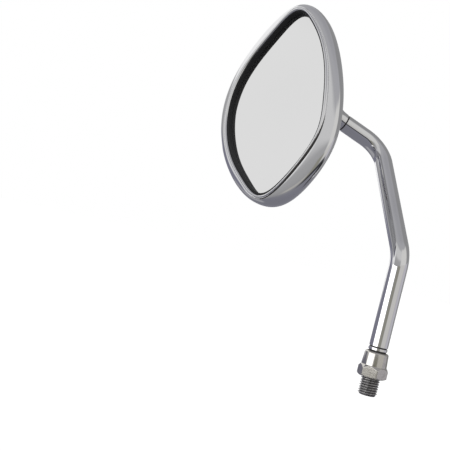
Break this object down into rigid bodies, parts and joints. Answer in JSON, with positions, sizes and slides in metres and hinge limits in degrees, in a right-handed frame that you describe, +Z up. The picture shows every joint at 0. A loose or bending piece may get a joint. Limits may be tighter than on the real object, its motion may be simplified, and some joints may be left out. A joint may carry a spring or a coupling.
{
  "type": "motorcycle mirror",
  "caption": "Motorcycle rear-view mirror: pointed oval chrome head with flat glass on a ball swivel, bent round stem with threaded stud and lock nut.",
  "frame": {"origin": "centre of the lock nut's lower seating face, on the axis of the stud", "axes": "+Z up the stud into the stem, +X inboard towards the motorcycle's middle, +Y forward; the rider looks along +Y at the glass. Left-hand mirror"},
  "size_m": [0.1068, 0.0864, 0.1965],
  "materials": {
    "chrome": "polished",
    "zinc": "satin",
    "steel": "satin",
    "nylon": "matte",
    "mirror_glass": "polished",
    "rubber": "matte",
    "foam": "matte",
    "black_plastic": "matte"
  },
  "bodies": {
    "stem": {"stem_rod": "chrome", "neck_cone": "chrome", "clamp_shoe": "steel", "disc_springs": "steel", "flat_washer": "zinc", "pivot_bolt": "zinc"},
    "nut": {"lock_nut": "zinc"},
    "liner_out": {"outer_liner": "nylon"},
    "liner_in": {"inner_liner": "nylon"},
    "head": {"swivel_dome": "chrome", "ring_nut": "steel", "housing_shell": "chrome", "mirror_glass": "mirror_glass", "glass_gasket": "rubber", "foam_pad": "foam", "backing_plate": "black_plastic", "plate_screws": "zinc"}
  },
  "joints": [
    {"name": "lock_nut_turn", "type": "hinge", "parent": "stem", "child": "nut", "pos_m": [0, 0, 0], "axis": [0, 0, 1], "continuous": true},
    {"name": "head_tilt", "type": "hinge", "parent": "stem", "child": "liner_out", "pos_m": [-0.06573, -0.02565, 0.13756], "axis": [0.9607, 0.2047, 0.1876], "range_deg": [-16, 8]},
    {"name": "head_turn", "type": "hinge", "parent": "liner_out", "child": "liner_in", "pos_m": [-0.06573, -0.02565, 0.13756], "axis": [-0.219, 0.143, 0.9652], "range_deg": [-8, 8]},
    {"name": "head_spin", "type": "hinge", "parent": "liner_in", "child": "head", "pos_m": [-0.06573, -0.02565, 0.13756], "axis": [0.4094, 0.8981, -0.1607], "range_deg": [-30, 30]}
  ]
}
